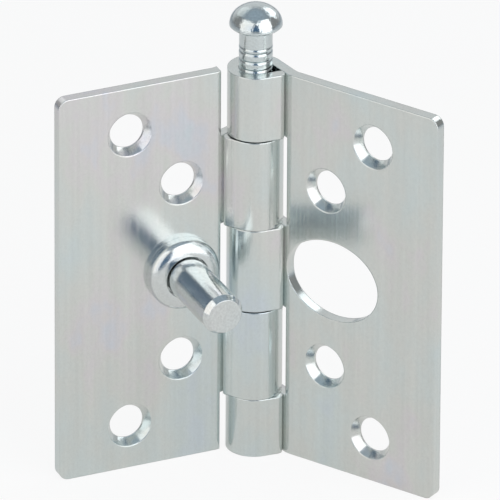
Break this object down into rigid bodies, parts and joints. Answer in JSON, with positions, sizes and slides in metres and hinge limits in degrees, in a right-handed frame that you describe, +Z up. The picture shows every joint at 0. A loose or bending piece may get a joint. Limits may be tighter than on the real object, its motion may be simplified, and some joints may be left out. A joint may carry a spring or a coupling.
{
  "type": "security butt hinge",
  "caption": "Steel butt hinge with rolled knuckles, a loose ball-headed pin, a round security stud on one leaf and an oval receiving hole in the other.",
  "frame": {"origin": "on the pin's axis, level with the bottom edges of the leaves", "axes": "+Z up along the pin, +X along the receiver leaf, -Y out of its countersunk face"},
  "size_m": [0.0712, 0.0434, 0.1035],
  "materials": {
    "leaf_plating": "bright zinc plate, satin, faint iridescence",
    "stud_plating": "bright zinc plate on turned steel",
    "pin_plating": "bright zinc plate, glossy"
  },
  "bodies": {
    "receiver_side": {"receiver_leaf": "leaf_plating"},
    "stud_side": {"stud_leaf": "leaf_plating", "security_stud": "stud_plating", "stud_collar": "stud_plating"},
    "pin": {"hinge_pin": "pin_plating"}
  },
  "joints": [
    {"name": "leaf_swing", "type": "hinge", "parent": "receiver_side", "child": "stud_side", "pos_m": [0, 0, 0.0445], "axis": [0, 0, 1], "range_deg": [-188, 121.5]},
    {"name": "pin_lift", "type": "slide", "parent": "receiver_side", "child": "pin", "axis": [0, 0, 1], "range_m": [-0.00945, 0.08]}
  ]
}
